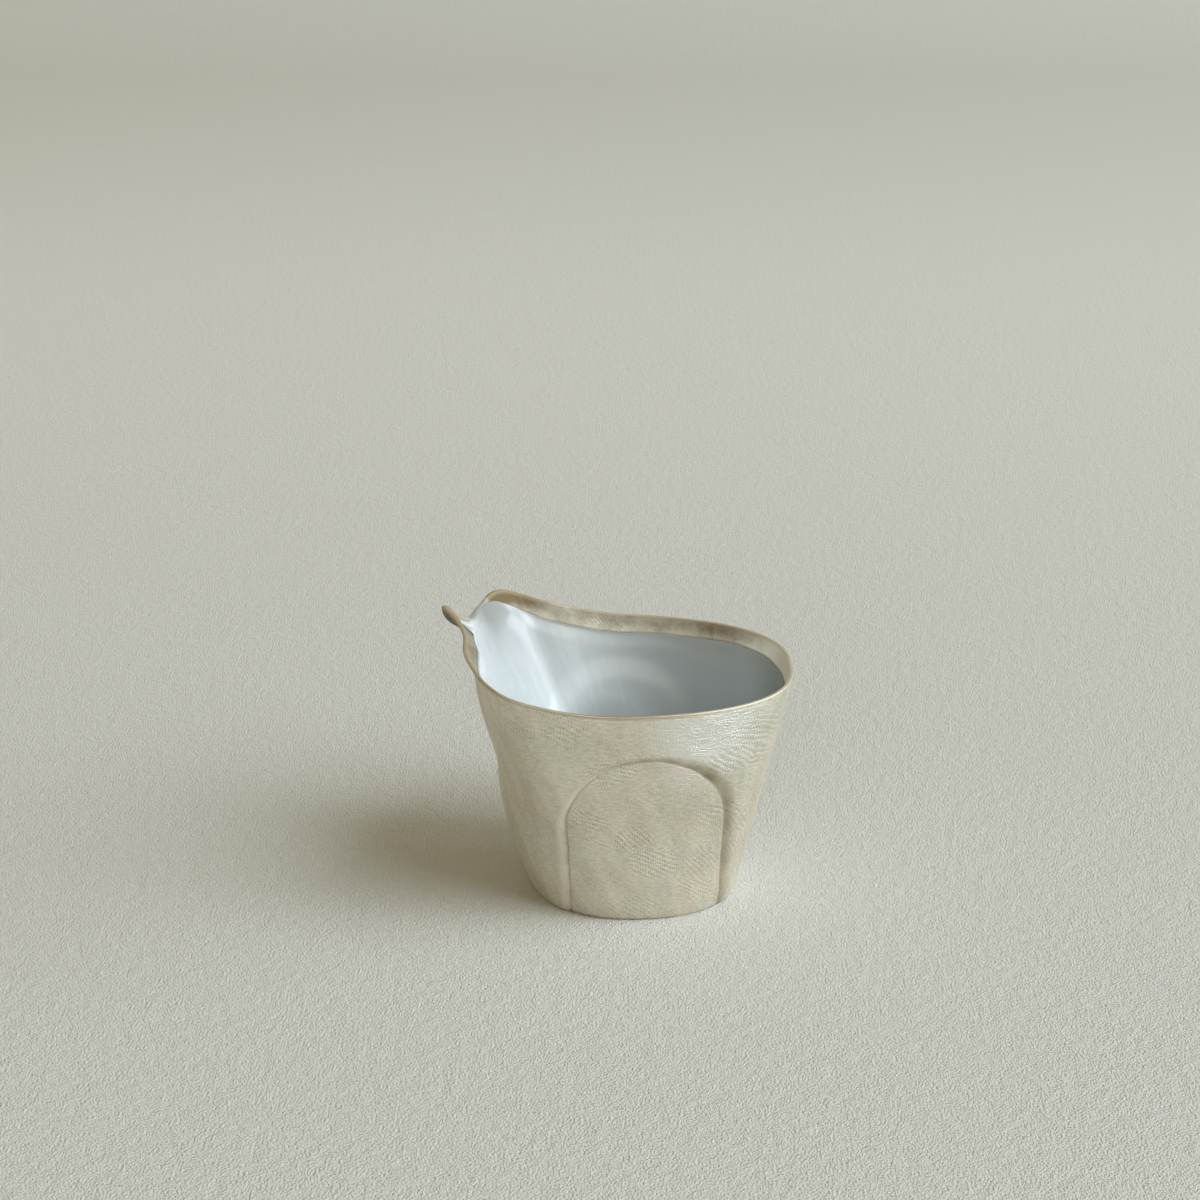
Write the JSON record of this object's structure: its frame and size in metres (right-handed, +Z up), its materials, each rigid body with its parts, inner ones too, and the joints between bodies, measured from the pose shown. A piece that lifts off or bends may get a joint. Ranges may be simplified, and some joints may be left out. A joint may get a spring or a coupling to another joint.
{
  "type": "tea serving pitcher",
  "caption": "Oval hammered metal tea serving pitcher without a handle: pinched beak spout on a climbing rim, arched grip panels pressed into the sides, flat base and pale tin lining.",
  "frame": {"origin": "middle of the foot, on the surface that the pitcher stands on", "axes": "+Z up through the mouth, -X towards the spout, +X towards the blunt tail, the grip panels at -Y and +Y"},
  "size_m": [0.1004, 0.0832, 0.0871],
  "materials": {
    "wall_metal": "warm white copper-nickel alloy, satin, with fine hammer and chasing marks; unlined bronze-brown band inside the rim",
    "plate_metal": "the wall's alloy, plain satin",
    "solder": "dull grey tin solder",
    "tin": "wiped tin, bluish white, soft satin"
  },
  "bodies": {
    "root": {"body_wall": "wall_metal", "base_plate": "plate_metal", "base_solder_seam": "solder", "tin_lining": "tin"}
  },
  "joints": []
}
